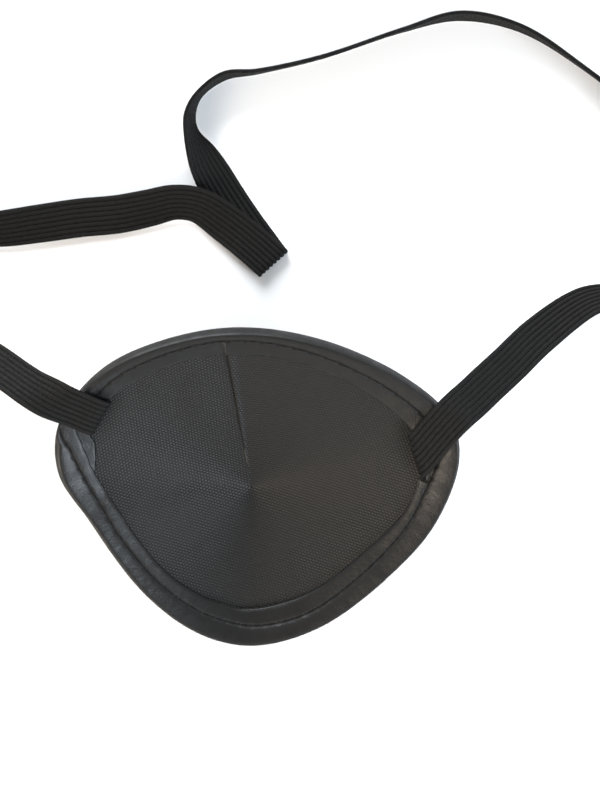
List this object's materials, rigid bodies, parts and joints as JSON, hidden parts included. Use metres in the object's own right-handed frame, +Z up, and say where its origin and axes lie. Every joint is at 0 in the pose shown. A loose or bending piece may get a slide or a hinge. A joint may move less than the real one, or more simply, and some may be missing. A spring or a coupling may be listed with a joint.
{
  "type": "eye patch",
  "caption": "Concave black eye patch, a bound cone of leather and woven lining on a narrow braided elastic head strap that swings on its sewn ends.",
  "frame": {"origin": "on the table, under the middle of the patch", "axes": "+X from the patch's left corner to its right corner as the wearer's side is looked down on, +Y from its lower rim (cheek) to its upper rim (brow), +Z up from the table"},
  "size_m": [0.1579, 0.1282, 0.0266],
  "materials": {
    "shell_leather": "fine-grained coated leather, satin",
    "binding_leather": "soft coated leather tape, satin, slightly creased",
    "foam_board": "matt closed-cell foam sheet",
    "lining_fabric": "fine plain-woven synthetic lining, slight sheen",
    "thread": "twisted polyester sewing thread",
    "elastic": "braided elastic with lengthwise ribs"
  },
  "bodies": {
    "patch": {"outer_shell": "shell_leather", "stiffener": "foam_board", "lining": "lining_fabric", "binding": "binding_leather", "needle_thread": "thread", "bobbin_thread": "thread", "strap_end_left": "elastic", "strap_end_right": "elastic"},
    "strap": {"strap_left_run": "elastic", "strap_right_run": "elastic"}
  },
  "joints": [
    {"name": "strap_swing", "type": "hinge", "parent": "patch", "child": "strap", "pos_m": [-0.0394, 0.0176, 0.0244], "axis": [0.9993, -0.0321, -0.02], "range_deg": [0, 110]}
  ]
}
